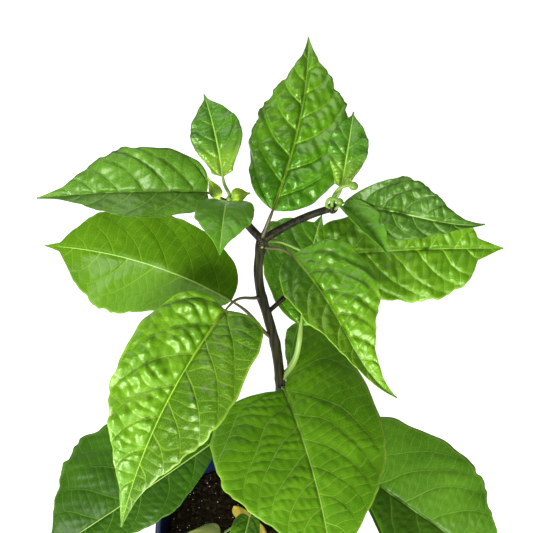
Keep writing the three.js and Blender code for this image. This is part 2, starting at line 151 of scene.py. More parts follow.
LEAVES = {
    "crown_leaf": dict(
        node=(-10, 0, 349), base=(-5, 5, 362), tip=(13, 81, 410), half=(21, 26), widest=0.27,
        rise=0.55, end=0.98, bend=4, arch=6, curl=-30, lobe=-0.1, pucker=(3.0, 3.2), cells=0.25,
        scallop=0.035, stalk=1.1, tone="crown", shank="russet"),
    "left_upper_leaf": dict(
        node=LEFT_NODE, leave=(-5, 0, 1), base=(-36, 5, 373), tip=(-115, 1, 373), half=(15, 21),
        roll=-10, arch=7, bend=2, fold=(55, 5), curl=(-20, -30), lobe=0.1, widest=0.26,
        pucker=(0.7, 1.4), rung=6, cells=0.35, tone="soft", shank="russet"),
    "left_lower_leaf": dict(
        node=(-2, 0, 271), leave=(-1, -0.1, 1), base=(-26, -4, 308), tip=(-120, 11, 333),
        half=(36, 29), arch=3, bend=6, fold=(-62, -8), open=1.1, widest=0.34, rise=0.45, end=0.93,
        lobe=0, sweep=0.38, drip=0.9, pucker=0.6, tone="pale", shank="brown", stalk=1.1),
    "right_upper_leaf": dict(
        node=RIGHT_NODE, leave=(2, 0, 1), base=(28, 0, 371), tip=(91, -16, 372), half=(16.5, 12.5),
        arch=8, bend=0.5, swerve=2, fold=15, widest=0.26, lobe=(-0.75, -0.9), rung=4.5,
        tone="cool"),
    "right_lower_leaf": dict(
        node=(-10, 0, 346), leave=(3, 1, 0), base=(22, 4, 333), tip=(111, 8, 334), half=(22, 26),
        arch=3, bend=-1, widest=0.38, lobe=(0.5, 0.3), sweep=0.3, end=0.84, rise=0.4, drip=1.5,
        tone="bright", pucker=2.6, rung=4.5),
    "centre_leaf": dict(
        node=(-10, 0, 343), base=(4, -15, 351), tip=(51, -72, 317), half=(26, 17), roll=-20, arch=8,
        bend=1, swerve=5, fold=(26, 20), widest=0.2, sweep=0.3, end=0.86, lobe=-0.1, drip=1,
        pucker=(2.4, 1.4), tone="glossy", shank="brown"),
    "front_left_leaf": dict(
        node=(-11, 0, 307), base=(-28, -22, 321), tip=(-79, -97, 246), half=(29, 30), arch=10,
        bend=6, fold=(26, 14), widest=0.22, rise=0.4, lobe=(0.3, 0.05), pucker=(1.4, 2.7), rung=6,
        tone="golden", shank="brown", rows=190, columns=88),
    "front_leaf": dict(
        node=(1, 0, 229), base=(2, -7, 237), tip=(28, -101, 195), half=(47, 51), roll=-14, arch=8,
        bend=-2, fold=8, widest=0.24, rise=0.42, end=0.98, lobe=(1.2, 0.1), sweep=0.17, stalk=1.0,
        ripple=0.7, scallop=0.012, pucker=(0.8, 1.3), rung=6, tone="mid", rows=190, columns=88),
    "low_left_leaf": dict(
        node=(0, 0, 195), base=(-35, -6, 190), tip=(-146, -67, 149), half=(20, 46), arch=8,
        fold=(24, 0), widest=0.3, lobe=(-1, 0.3), stalk=1.1, pucker=1.0, tone="shade"),
    "low_right_leaf": dict(
        node=(0, 0, 175), base=(45, -10, 163), tip=(153, -74, 128), half=(45, 40), arch=8,
        fold=(0, 55), open=0.3, widest=0.22, end=0.85, lobe=(0.4, -0.8), stalk=1.1, pucker=1.0,
        tone="old"),
    "back_upper_leaf": dict(
        node=(1, 0, 240), leave=(2, 0, 3), base=(11, 10, 273), tip=(24, 71, 300), half=(30, 24),
        arch=3, bend=-2, widest=0.46, rise=0.7, lobe=(-0.1, 0.2), stalk=1.9),
    "back_lower_leaf": dict(
        SMALL, node=(0, 0, 205), base=(14, 18, 196), tip=(16, 64, 214), half=(12, 14), arch=3,
        widest=0.6, end=1, drip=0.3, stalk=1.3, ripple=1.2, tone="old", pucker=0.8),
    "left_shoot_leaf": dict(
        SMALL, node=LEFT_NODE, leave=(0, 1, 3), base=(-28, 2, 385), tip=(-37, 34, 408),
        half=(11.5, 12.5), widest=0.42, rise=0.9, end=0.96, lobe=-0.2, sweep=0.2, arch=2, bend=1,
        ripple=1.1, waves=5, wing=0.42, stalk=1.0, pucker=1.1, rung=2.0, tone="shoot"),
    "right_shoot_leaf": dict(
        SMALL, node=RIGHT_NODE, leave=(0, 1, 1), base=(27, 5, 376), tip=(33, 33, 399), half=9.5,
        widest=0.45, rise=0.9, end=0.96, lobe=-0.2, sweep=0.2, arch=2, ripple=1.1, waves=5,
        wing=0.42, pucker=1.1, rung=2.0, tone="shoot"),
    "heart_leaf": dict(
        SMALL, node=LEFT_NODE, leave=(0, -5, 1), base=(-26, -9, 379), tip=(-28, -43, 379), half=13,
        arch=6, fold=10, widest=0.26, lobe=0.9, drip=1.6, pucker=0.5),
    "folded_leaf": dict(
        SMALL, node=RIGHT_NODE, leave=(2, -3, 0), base=(27, -4, 372), tip=(48, -30, 363), half=9.5,
        arch=2, bend=-1, fold=(15, 80), lobe=0, ripple=0.3),
    "tiny_upright_leaf": dict(
        SMALL, node=LEFT_NODE, leave=(-6, -5, 7), base=(-30, 1, 373), tip=(-35, 2, 385), half=3,
        arch=1, fold=8, lobe=-0.2, sweep=0.2, ripple=0, stalk=0.6, pucker=0.1, tone="fresh"),
    "tiny_curled_leaf": dict(
        SMALL, node=LEFT_NODE, leave=(2, -1, 1), base=(-24, 1, 374), tip=(-15.5, 0, 377), half=3.4,
        arch=2, hook=-1, lobe=0, sweep=0.2, ripple=0, stalk=0.6, pucker=0.1, tone="fresh"),
    "small_low_leaf": dict(
        SMALL, node=(0, 0, 116), base=(-19, -22, 122), tip=(-26, -48, 115), half=(9, 10), arch=3,
        widest=0.3, ripple=0.6, stalk=0.9, tone="old"),
    "round_low_leaf": dict(
        SMALL, node=(0, 0, 107), leave=(-1, -1, 0), base=(-37, -38, 127), tip=(-81, -69, 133),
        half=16, arch=9, widest=0.4, end=1, drip=0.3, curl=-10, ripple=0.5, stalk=0.9,
        tone="dusty"),
}
FALLEN_LEAF = dict(base=(-14, 21), heading=-44, length=34, half=6, rise=2, clear=0.5)

BUDS = {
    "upper_flower_bud": dict(
        path=(RIGHT_NODE, (22.5, -0.5, 371), (23, -0.5, 375), (25.5, -1, 380.5), (29, -1, 382.5),
              (34, -1, 381.5)),
        head=2.0, stalk=0.85),
    "lower_flower_bud": dict(
        path=(RIGHT_NODE, (20, -2, 371), (20.5, -3.5, 376), (23, -5.5, 378.5), (27, -7, 376.5)),
        head=1.6, stalk=0.75),
}


# Arrays
def unit(vectors):
    """Vectors of the same directions with a length of 1."""
    return vectors / np.linalg.norm(vectors, axis=-1, keepdims=True)


def smooth_step(x):
    """3x^2 - 2x^3 for x kept between 0 and 1."""
    x = np.clip(x, 0, 1)
    return x * x * (3 - 2 * x)


def waviness(x, y, seed):
    """Smooth irregular field of about -1 to 1: five sine waves in directions drawn from a seed."""
    draw = np.random.default_rng(seed)
    total = 0
    for _ in range(5):
        a, b, c = draw.uniform(-1, 1, 3)
        total = total + np.sin(2.4 * a * x + 2.4 * b * y + 6.3 * c)
    return total / 2.5


def full_turn(count):
    """Angles of evenly spaced directions."""
    return np.arange(count) * 2 * np.pi / count


def run_along(points):
    """Distance of each point of a path from its start, measured along the path."""
    steps = np.linalg.norm(np.diff(points, axis=0), axis=1)
    return np.concatenate([[0], np.cumsum(steps)])


def quadratic(a, b, c, t):
    """Points at shares t of the curve that leaves a and reaches c, both times aimed at b."""
    return (1 - t) ** 2 * a + 2 * t * (1 - t) * b + t ** 2 * c


def through(points, count):
    """A smooth path through given points, a centripetal Catmull-Rom curve, evenly spaced."""
    knots = np.array(points, float)
    ends = [2 * knots[0] - knots[1]], [2 * knots[-1] - knots[-2]]
    knots = np.concatenate([ends[0], knots, ends[1]])
    steps = np.linalg.norm(np.diff(knots, axis=0), axis=1) ** 0.5
    times = np.concatenate([[0], np.cumsum(steps)])
    pieces = []
    for k in range(1, len(knots) - 2):
        t = np.linspace(times[k], times[k + 1], 24, endpoint=False)[:, None]

        def blend(a, b, i, j):
            """Points at times t between a, at time i, and b, at time j."""
            return ((times[j] - t) * a + (t - times[i]) * b) / (times[j] - times[i])

        a1 = blend(knots[k - 1], knots[k], k - 1, k)
        a2 = blend(knots[k], knots[k + 1], k, k + 1)
        a3 = blend(knots[k + 1], knots[k + 2], k + 1, k + 2)
        pieces.append(blend(blend(a1, a2, k - 1, k + 1), blend(a2, a3, k, k + 2), k, k + 1))
    dense = np.concatenate(pieces + [knots[-2:-1]])
    run = run_along(dense)
    wanted = np.linspace(0, run[-1], count)
    return np.stack([np.interp(wanted, run, column) for column in dense.T], -1)


def grid_quads(rows, columns, wrap=False):
    """Corner numbers of the quads of a grid of points, closed round if wrapped."""
    row, column = np.meshgrid(
        np.arange(rows - 1), np.arange(columns if wrap else columns - 1), indexing="ij")
    after = (column + 1) % columns
    corners = [row * columns + column, row * columns + after,
               (row + 1) * columns + after, (row + 1) * columns + column]
    return np.stack(corners, -1).reshape(-1, 4)


def fan(centre, ring):
    """Triangles from a centre point to each pair of neighbours on a ring, as point numbers."""
    return np.stack([np.full(len(ring), centre), ring, np.roll(ring, -1)], -1)


def closed_rings(rings, first, last):
    """Points and faces of a skin over equal rings, closed at a first and a last point."""
    rows, sides = rings.shape[:2]
    ring = np.arange(sides)
    points = np.concatenate([rings.reshape(-1, 3), [first, last]])
    caps = np.concatenate([
        fan(rows * sides, ring[::-1]), fan(rows * sides + 1, (rows - 1) * sides + ring)])
    return points, grid_quads(rows, sides, wrap=True).tolist() + caps.tolist()


def closed_sheet(upper, lower):
    """Points of two equal grids with their upper quads, their lower ones and the rim between."""
    rows, columns = upper.shape[:2]
    count = rows * columns
    quads = grid_quads(rows, columns)
    edge = np.concatenate([
        np.arange(columns - 1), np.arange(rows - 1) * columns + columns - 1,
        (rows - 1) * columns + np.arange(columns - 1, 0, -1), np.arange(rows - 1, 0, -1) * columns])
    after = np.roll(edge, -1)
    rim = np.stack([edge, edge + count, after + count, after], -1)
    points = np.concatenate([upper.reshape(-1, 3), lower.reshape(-1, 3)])
    return points, quads, (quads + count)[:, ::-1], rim


# Pieces
def add_object(name, data):
    """An object of the scene with the given data."""
    made = bpy.data.objects.new(name, data)
    bpy.context.scene.collection.objects.link(made)
    return made


def set_smooth(mesh, smooth):
    """Shades all faces of a mesh smooth or flat."""
    mesh.polygons.foreach_set("use_smooth", np.full(len(mesh.polygons), smooth))


def add_piece(name, points, faces, materials, slot, node=None, face_material=None, maps=None):
    """A mesh object from millimetre points; maps gives a UV pair for every face corner."""
    mesh = bpy.data.meshes.new(name)
    shift = 0 if slot in POT_SLOTS else PLANT_OFFSET
    points = np.asarray(points, float) + shift
    mesh.from_pydata((points * MM).tolist(), [], faces)
    for material in materials:
        mesh.materials.append(material)
    if face_material is not None:
        mesh.polygons.foreach_set("material_index", np.asarray(face_material, np.int32))
    for key, pairs in (maps or {}).items():
        layer = mesh.uv_layers.new(name=key)
        layer.data.foreach_set("uv", np.asarray(pairs, np.float32).ravel())
    set_smooth(mesh, True)
    mesh.update()
    mesh.validate()
    piece = add_object(name, mesh)
    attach(piece, "root")
    if node:
        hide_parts(node)
    return piece


def add_tube(name, path, radius, material, slot, node, sides=12, flute_depth=0):
    """A closed tube: its radius varies along the path, and round it in shallow flutes."""
    tangent = unit(np.gradient(path, axis=0))
    least = np.eye(3)[np.abs(tangent).max(axis=0).argmin()]
    side = unit(np.cross(tangent, least))
    other = np.cross(tangent, side)
    angle = full_turn(sides)[None, :, None]
    reach = np.asarray(radius)[:, None, None] * (1 + flute_depth * np.cos(FLUTES * angle))
    around = side[:, None] * np.cos(angle) + other[:, None] * np.sin(angle)
    points, faces = closed_rings(path[:, None] + reach * around, path[0], path[-1])
    share = np.concatenate([np.repeat(np.linspace(0, 1, len(path)), sides), [0, 1]])
    corners = [corner for face in faces for corner in face]
    maps = {"along": np.stack([share[corners], np.zeros(len(corners))], -1)}
    add_piece(name, points, faces, [material], slot, node, maps=maps)


# Leaf surface
def by_side(pair, right):
    """The right half's value where right is true, else the left half's; one number is both."""
    left_value, right_value = np.broadcast_to(pair, 2)
    return np.where(right, right_value, left_value)


def blade_length(leaf):
    """Straight distance from the blade's foot to its tip."""
    return np.linalg.norm(np.subtract(leaf["tip"], leaf["base"]))


def outline(leaf, u):
    """Half-width share at share u of the midrib: the fourth root of a sum of fourth powers.

    With m the widest place and e the end, the body is (u/m)^a ((1-u/e)/(1-m/e))^b, where a is
    the rise and b = a(e-m)/m. The drip tip falls straight to u = 1. A wing widens the neck.
    """
    widest, end, rise = leaf["widest"], leaf["end"], leaf["rise"]
    fall = rise * (end - widest) / widest
    body = (u / widest) ** rise * (np.clip(1 - u / end, 0, 1) / (1 - widest / end)) ** fall
    tail = leaf["drip"] * (1 - u) * smooth_step((u - widest) / 0.5)
    wing = leaf["wing"] * smooth_step(u / 0.015) * smooth_step((0.2 - u) / 0.1)
    return (body ** 4 + tail ** 4 + wing ** 4) ** 0.25


def midrib(leaf, t):
    """Point, tangent, right and up at share t of the chord from base to tip.

    The rib leaves the chord by arch * 4t(1-t) + hook * 9.5 t^3 (1-t) upwards and by bend and
    swerve sideways in the same way, and its face looks at the camera, turned by roll.
    """
    base, tip = np.array(leaf["base"], float), np.array(leaf["tip"], float)
    chord = tip - base
    ahead = unit(chord)
    facing = unit(TOWARDS_CAMERA - (TOWARDS_CAMERA @ ahead) * ahead)
    across = np.cross(ahead, facing)
    roll = np.radians(leaf["roll"])
    up = facing * np.cos(roll) + across * np.sin(roll)
    side = across * np.cos(roll) - facing * np.sin(roll)
    t = np.asarray(t, float)[..., None]
    early, late = 4 * t * (1 - t), 9.5 * t ** 3 * (1 - t)
    early_slope, late_slope = 4 - 8 * t, 9.5 * (3 * t ** 2 - 4 * t ** 3)
    point = base + chord * t + up * (leaf["arch"] * early + leaf["hook"] * late)
    point = point + side * (leaf["bend"] * early + leaf["swerve"] * late)
    tangent = chord + up * (leaf["arch"] * early_slope + leaf["hook"] * late_slope)
    tangent = unit(tangent + side * (leaf["bend"] * early_slope + leaf["swerve"] * late_slope))
    right = unit(np.cross(tangent, up))
    return point, tangent, right, np.cross(right, tangent)


def lamina(leaf, u, v):
    """Point and normal of the blade's middle sheet, half-width and t, at shares u and v.

    u runs along the midrib, v from the left margin at -1 to the right one at 1. A line of equal
    u leans back by lobe at the foot, and further on forward by sweep. Across, the sheet is an
    arc that starts at the fold's angle and turns by curl; open unfolds it towards the tip.
    """
    right = v > 0
    share = np.abs(v)
    reach = by_side(leaf["half"], right)
    edge_wave = np.sin(34 * u + 2 * right) + 0.6 * np.sin(71 * u + 3 * right)
    edge_wave = edge_wave + 0.25 * np.sin(127 * u)
    width = reach * np.hypot(outline(leaf, u), 0.4 / reach)
    width = width * (1 + leaf["scallop"] * share ** 3 * edge_wave)
    lobe = by_side(leaf["lobe"], right)
    sweep = -lobe + (leaf["sweep"] + lobe) * smooth_step(u / 0.32)
    t = u + width * share * sweep * (1 + 0.3 * v * v) * (1 - u ** 3) / blade_length(leaf)
    point, _, across, up = midrib(leaf, t)
    fold = np.radians(by_side(leaf["fold"], right)) * (1 - leaf["open"] * np.clip(t, 0, 1))
    curl = np.radians(by_side(leaf["curl"], right))
    angle = fold + curl * share * width / reach
    out = reach / curl * (np.sin(angle) - np.sin(fold))
    wave = np.sin(2 * np.pi * leaf["waves"] * u + 1.9 * right)
    lift = reach / curl * (np.cos(fold) - np.cos(angle))
    lift = lift + leaf["ripple"] * v * v * width / reach * wave
    sign = np.sign(v)
    point = point + across * (sign * out)[..., None] + up * lift[..., None]
    normal = up * np.cos(angle)[..., None] - across * (sign * np.sin(angle))[..., None]
    return point, normal, width, t


def vein_phase(leaf, t, right, share=0.0, outward=0.0):
    """Side veins stand where this is a whole number.

    A vein leaves the midrib at share e of its length and leans forward by 0.6 + 0.7 v^2. Behind
    the first one, in the lobes, they fan out from the foot: there e is shared by the distance.
    """
    length = blade_length(leaf)
    ahead = t * length - (VEIN_LEAN + VEIN_CURVE * share ** 2) * outward
    phase = np.where(ahead > 0, leaf["veins"] * ahead / length, 0.9 * ahead / (outward + 4))
    return phase + 0.5 * right


def rib_groove(leaf, u):
    """Depth of the furrow that the midrib lies in; folded and smooth leaves have less of it."""
    openness = max(0, 1 - np.max(leaf["fold"]) / 60)
    return MIDRIB_GROOVE * openness * (1 - u) * min(np.max(leaf["pucker"]), 1)


def pucker_height(leaf, u, v, t, width, seed):
    """Height of the blistered sheet, and its warped vein and rung coordinates.

    From vein to vein, at share s, the blade swells as (4q(1-q))^0.7 with q = s^0.6, so it is
    steep on the foot's side. Rungs, nearly straight across the leaf, part it into cells.
    """
    right = v > 0
    outward = np.abs(v) * width
    phase = vein_phase(leaf, t, right, np.abs(v), outward)
    warp = VEIN_WARP * waviness(outward / 9, phase, seed)
    bent = phase + warp * smooth_step(outward / 8)
    strip = np.floor(bent)
    along = t * blade_length(leaf) + RUNG_SLANT * outward
    rung = along / leaf["rung"] + RUNG_SHIFT * strip
    rung = rung + RUNG_WARP * waviness(outward / 6, along / 6, seed + 1)
    skewed = (bent - strip) ** 0.6
    between = 4 * skewed * (1 - skewed)
    cell = 4 * (rung - np.floor(rung)) * (1 - rung + np.floor(rung))
    swell = np.clip(between, 0, 1) ** 0.7 * (1.1 - leaf["cells"] * (1 - cell ** 0.6))
    uneven = 0.85 + 0.35 * waviness(outward / 7, along / 7, seed + 2)
    uneven = uneven + 0.22 * waviness(outward / 1.6, along / 2.2, seed + 3)
    inner = smooth_step(outward / SIDE_VEIN_GROOVE) * (1 - 0.6 * np.abs(v) ** 5)
    gate = inner * smooth_step((1 - u) / 0.2)
    gate = gate * smooth_step(u / 0.06 + 0.3) * (1 - 0.55 * smooth_step((u - 0.45) / 0.4))
    height = by_side(leaf["pucker"], right) * gate * swell * uneven
    height = height - np.exp(-(outward / 1.1) ** 2) * rib_groove(leaf, u)
    return height, bent, rung


def blade_shell(leaf, seed):
    """Closed blade: its sheet is puckered, then offset by half its thickness to each face."""
    rows, columns = leaf["rows"] + 1, leaf["columns"] + 1
    even = np.linspace(0, 1, rows)
    u = (0.5 * even + 0.25 * (1 - np.cos(np.pi * even)))[:, None] + np.zeros((1, columns))
    v = np.linspace(-1, 1, columns)[None, :] + np.zeros((rows, 1))
    point, normal, width, t = lamina(leaf, u, v)
    height, bent, rung = pucker_height(leaf, u, v, t, width, seed)
    inside = smooth_step((1 - np.abs(v)) / MARGIN_SHARE)
    half = (RIM_BLADE + (BLADE - RIM_BLADE) * inside) / 2
    points, quads, under, rim = closed_sheet(
        point + normal * (height + half)[..., None], point + normal * (height - half)[..., None])
    faces = np.concatenate([quads, under, rim])

    # Vein and blade coordinates at each corner; at the midrib a face takes its own side's
    corners = faces.ravel() % (rows * columns)
    face_column = (corners % columns).reshape(-1, 4).mean(axis=1)
    on_right = np.repeat(face_column > (columns - 1) // 2, 4)
    u, v, width, bent, rung = (field.ravel()[corners] for field in (u, v, width, bent, rung))
    bent = np.where(np.isclose(v, 0), vein_phase(leaf, u, on_right), bent)
    outward = np.sign(on_right - 0.5) * np.abs(v) * width
    maps = {
        "veins": np.stack([bent, np.abs(v)], -1),
        "rungs": np.stack([rung, u], -1),
        "lamina": np.stack([outward, u * blade_length(leaf)], -1) / LAMINA_UNIT,
    }
    face_material = np.repeat([0, 1], [len(quads), len(under) + len(rim)])
    return points, faces.tolist(), face_material, maps


def stalk_path(leaf):
    """Path with radius: a Bezier curve from the node to the blade's foot, then the midrib.

    The rib lies in its furrow and stands out of it by two thirds of its radius.
    """
    foot, tangent, _, _ = midrib(leaf, np.array([0.0]))
    foot, tangent = foot[0], tangent[0]
    start = np.array(leaf["node"], float)
    handle = 0.4 * np.linalg.norm(foot - start)
    leave = unit(np.array(leaf["leave"] if leaf["leave"] else foot - start, float))
    b, c = start + handle * leave, foot - handle * tangent
    t = np.linspace(0, 1, 24, endpoint=False)[:, None]
    petiole = (1 - t) ** 3 * start + 3 * t * (1 - t) ** 2 * b + 3 * t ** 2 * (1 - t) * c
    petiole = petiole + t ** 3 * foot
    petiole = np.concatenate([petiole, leaf["stalk"] * (1 - 0.3 * t)], 1)
    share = np.linspace(RIB_START, RIB_STOP, 60)
    rib, _, _, up = midrib(leaf, share)
    slim = leaf["stalk"] * (0.52 - 0.4 * share ** 0.7)
    level = BLADE / 2 - rib_groove(leaf, share) - slim / 3
    rib = rib + up * (level * smooth_step(share / 0.06))[:, None]
    rib = np.concatenate([rib, slim[:, None]], 1)
    return through(np.concatenate([petiole[::4], rib[::6], rib[-1:]]), 90)


def add_leaf(name, leaf, seed):
    """The blade, and the stalk that goes on as its midrib and flares at the stem."""
    points, faces, face_material, maps = blade_shell(leaf, seed)
    slot = LEAF_SLOT.get(leaf["tone"], "full_leaf")
    finishes = LEAF_FINISH[leaf["tone"]]
    add_piece(name + "_blade", points, faces, finishes, slot, name, face_material, maps)
    path = stalk_path(leaf)
    flare = 0.35 * leaf["stalk"] * np.exp(-(np.linspace(0, 1, len(path)) / 0.03) ** 2)
    shank = STALK_FINISH[leaf["shank"]]
    add_tube(name + "_stalk", path[:, :3], path[:, 3] + flare, shank, slot, name)


# Stem, pot, soil
def add_stem():
    """Main stem, twigs that end in round knots, two tiny buds and the stub of a lost leaf."""
    path = through(STEM_COURSE, 320)
    share = np.linspace(0, 1, len(path))
    radius = STEM_RADIUS + (FORK_RADIUS - STEM_RADIUS) * share ** 2
    for leaf in LEAVES.values():
        height = leaf["node"][2]
        if height < FORK[2] + 3:
            radius = radius + NODE_SWELL * np.exp(-((path[:, 2] - height + 2) / 3.5) ** 2)
    radius = radius * (1 + 0.02 * waviness(path[:, 2] / 5, 0, 5))
    add_tube("stem_main", path, radius, stem_bark, "stem_bark", "stem", 24, flute_depth=0.05)
    for name, (end, bow) in TWIGS.items():
        a, b, c = np.array(FORK, float), np.array(bow, float), np.array(end, float)
        twig = quadratic(a, b, c, np.linspace(0, 1, 60)[:, None])
        overrun = c + unit(c - b) * np.linspace(0.2, KNOT_RADIUS, 14)[:, None]
        past = np.arange(len(twig) + len(overrun)) >= len(twig)
        twig = np.concatenate([twig, overrun])
        before_end = np.linalg.norm(twig - c, axis=1)
        slender = np.linspace(TWIG_RADIUS, TWIG_TIP_RADIUS, len(twig))
        ball = np.sqrt(np.clip(KNOT_RADIUS ** 2 - before_end ** 2, 0.02, None))
        size = np.where(past, ball, np.maximum(slender, ball))
        size[:3] = size[:3] + 0.6
        add_tube(name, twig, size, stem_bark, "stem_bark", "stem", 16, flute_depth=0.04)
    for name, (start, stop, fat, steps, last) in NODE_BUDS.items():
        size = fat * np.sqrt(1 - np.linspace(-0.9, last, steps) ** 2)
        bud = np.linspace(start, stop, steps)
        add_tube(name, bud, size, bud_green, "stem_bark", "stem")
    worn = np.array([2.0, 1.6, 1.4] + [1.25] * 7 + [1.4, 1.55, 1.4, 0.9])
    stub = np.linspace(*STUB, len(worn))
    add_tube("cut_stub", stub, worn, stem_bark, "stem_bark", "stem")


def rounded(corners, radius):
    """A profile whose corners are rounded: each becomes an arc-like quadratic curve."""
    corners = np.array(corners, float)
    result = [corners[0]]
    for before, corner, after in zip(corners[:-2], corners[1:-1], corners[2:]):
        ends = []
        for side in (before - corner, after - corner):
            ends.append(corner + unit(side) * min(radius, 0.45 * np.linalg.norm(side)))
        for t in np.linspace(0, 1, 5):
            result.append(quadratic(ends[0], corner, ends[1], t))
    result.append(corners[-1])
    return np.array(result)


def wall_radius(height):
    """Outer radius of the tapering side at a height."""
    return BASE_RADIUS + (RIM_RADIUS - RIM_LIP - BASE_RADIUS) / POT_HEIGHT * height


def drain_holes():
    """An object of upright rods, one for each drain hole."""
    cutter = bmesh.new()
    for angle in full_turn(DRAIN_COUNT) + np.pi / DRAIN_COUNT:
        made = bmesh.ops.create_cone(
            cutter, cap_ends=True, segments=32, radius1=DRAIN_RADIUS * MM,
            radius2=DRAIN_RADIUS * MM, depth=4 * FLOOR_HEIGHT * MM)
        place = np.array([np.cos(angle), np.sin(angle), 0]) * DRAIN_RING * MM
        bmesh.ops.translate(cutter, verts=made["verts"], vec=place)
    mesh = bpy.data.meshes.new("drains")
    cutter.to_mesh(mesh)
    cutter.free()
    return add_object("drains", mesh)


def add_pot():
    """The turned wall with a rolled rim, and drain holes cut through its floor."""
    rim_foot = POT_HEIGHT - RIM_DEPTH
    profile = rounded([
        (0.05, 0), (FOOT_RADIUS, 0), (FOOT_RADIUS + 1, CHANNEL_HEIGHT),
        (BASE_RADIUS - 6, CHANNEL_HEIGHT), (BASE_RADIUS - 5, 0), (BASE_RADIUS, 0),
        (wall_radius(rim_foot), rim_foot), (RIM_RADIUS, rim_foot), (RIM_RADIUS, POT_HEIGHT),
        (RIM_RADIUS - RIM_LIP - WALL, POT_HEIGHT), (wall_radius(rim_foot) - WALL, rim_foot),
        (wall_radius(FLOOR_HEIGHT) - WALL, FLOOR_HEIGHT), (0.05, FLOOR_HEIGHT)], 1.2)
    radius, height = profile[:, :1], profile[:, 1:]
    angle = full_turn(POT_SIDES)
    rings = np.stack([radius * np.cos(angle), radius * np.sin(angle), height + 0 * angle], -1)
    points, faces = closed_rings(rings, [0, 0, 0], [0, 0, FLOOR_HEIGHT])
    pot = add_piece("pot_shell", points, faces, [pot_plastic], "pot_plastic", "pot")
    drains = drain_holes()
    cut = pot.modifiers.new("drains", "BOOLEAN")
    cut.operation = "DIFFERENCE"
    cut.object = drains
    evaluated = pot.evaluated_get(bpy.context.evaluated_depsgraph_get())
    finished = bpy.data.meshes.new_from_object(evaluated)
    pot.modifiers.clear()
    pot.data = finished
    bpy.data.objects.remove(drains)
    set_smooth(finished, True)
    finished.set_sharp_from_angle(angle=np.radians(40))


def soil_height(x, y):
    """Crossing swells, as in the solids: sin(0.13x + 1)cos(0.11y) + 0.6 sin(0.21x - 0.17y)."""
    swell = np.sin(0.13 * x + 1) * np.cos(0.11 * y) + 0.6 * np.sin(0.21 * x - 0.17 * y)
    return SOIL_LEVEL + SOIL_RELIEF * swell


def add_soil():
    """A crumbly top on a plain body: rings out to the wall, down it and back under."""
    edge = wall_radius(SOIL_LEVEL) - WALL - 0.4
    reach = np.concatenate([
        np.linspace(0.2, edge, SOIL_RINGS), [edge, wall_radius(9) - WALL - 0.5, 0.2]])
    angle = full_turn(SOIL_SIDES)
    x, y = reach[:, None] * np.cos(angle), reach[:, None] * np.sin(angle)
    crumb = waviness(x / 1.6, y / 1.6, 21) + waviness(x / 0.8, y / 0.8, 22) * 0.6
    z = soil_height(x, y) - 0.4 + 0.5 * crumb + random.uniform(-0.35, 0.35, x.shape)
    z[SOIL_RINGS] = SOIL_LEVEL - 4
    z[SOIL_RINGS + 1:] = SOIL_FOOT
    rings = np.stack([x, y, z], -1)[:, ::-1]
    points, faces = closed_rings(rings, [0, 0, z[0].mean()], [0, 0, SOIL_FOOT])
    add_piece("soil_body", points, faces, [soil_mix], "soil_mix", "soil")


def add_grains(name, count, size, flat, material, seed):
    """Angular grains on the soil: small balls with every corner moved and each grain stretched."""
    draw = np.random.default_rng(seed)
    ball = bmesh.new()
    bmesh.ops.create_icosphere(ball, subdivisions=1, radius=1)
    corners = np.array([vertex.co[:] for vertex in ball.verts])
    faces = np.array([[vertex.index for vertex in face.verts] for face in ball.faces])
    ball.free()
    radius = draw.uniform(*size, count)
    spread = (wall_radius(SOIL_LEVEL) - WALL - 2) * np.sqrt(draw.uniform(0.02, 1, count))
    angle = draw.uniform(0, 2 * np.pi, count)
    x, y = spread * np.cos(angle), spread * np.sin(angle)
    stretch = draw.uniform(0.6, 1.2, (count, 1, 3)) * [1, 1, flat]
    local = corners[None] * stretch * draw.uniform(0.75, 1.15, (count, len(corners), 1))
    turn = draw.uniform(0, 2 * np.pi, count)
    tip = draw.uniform(-0.5, 0.5, count)
    sin, cos = np.sin(turn)[:, None], np.cos(turn)[:, None]
    turned_x = local[..., 0] * cos - local[..., 1] * sin
    turned_y = local[..., 0] * sin + local[..., 1] * cos
    lean = np.sin(tip)[:, None] * turned_x
    points = np.stack([turned_x, turned_y, local[..., 2] + lean], -1) * radius[:, None, None]
    middle = np.stack([x, y, soil_height(x, y) + 0.25 * radius * flat], -1)
    points = (points + middle[:, None]).reshape(-1, 3)
    all_faces = faces[None] + np.arange(count)[:, None, None] * len(corners)
    piece = add_piece(name, points, all_faces.reshape(-1, 3).tolist(), [material], "soil_mix")
    set_smooth(piece.data, False)


def add_fallen_leaf():
    """A small dry leaf on the soil: it follows the lumps and lifts along its right margin."""
    leaf = FALLEN_LEAF
    rows, columns = 61, 25
    u = ((1 - np.cos(np.pi * np.linspace(0, 1, rows))) / 2)[:, None] + np.zeros((1, columns))
    v = np.linspace(1, -1, columns)[None, :] + np.zeros((rows, 1))
    width = leaf["half"] * np.maximum(0.04, 2 * np.sqrt(u * (1 - u)) * (1 - 0.35 * u))
    heading = np.radians(leaf["heading"])
    x = leaf["base"][0] + np.cos(heading) * leaf["length"] * u - np.sin(heading) * width * v
    y = leaf["base"][1] + np.sin(heading) * leaf["length"] * u + np.cos(heading) * width * v
    lift = leaf["rise"] * u * (1 - v) / 2 + 0.8 * (1 + np.sin(7 * u + 2 * v))
    lift = lift + 0.25 * np.sin(16 * u + 3 * np.abs(v)) * np.abs(v)
    lower = np.stack([x, y, soil_height(x, y) + leaf["clear"] + lift], -1)
    points, *faces = closed_sheet(lower + [0, 0, BLADE], lower)
    faces = np.concatenate(faces).tolist()
    add_piece("dry_leaf", points, faces, [dry_leaf], "yellow_leaf", "fallen_leaf")


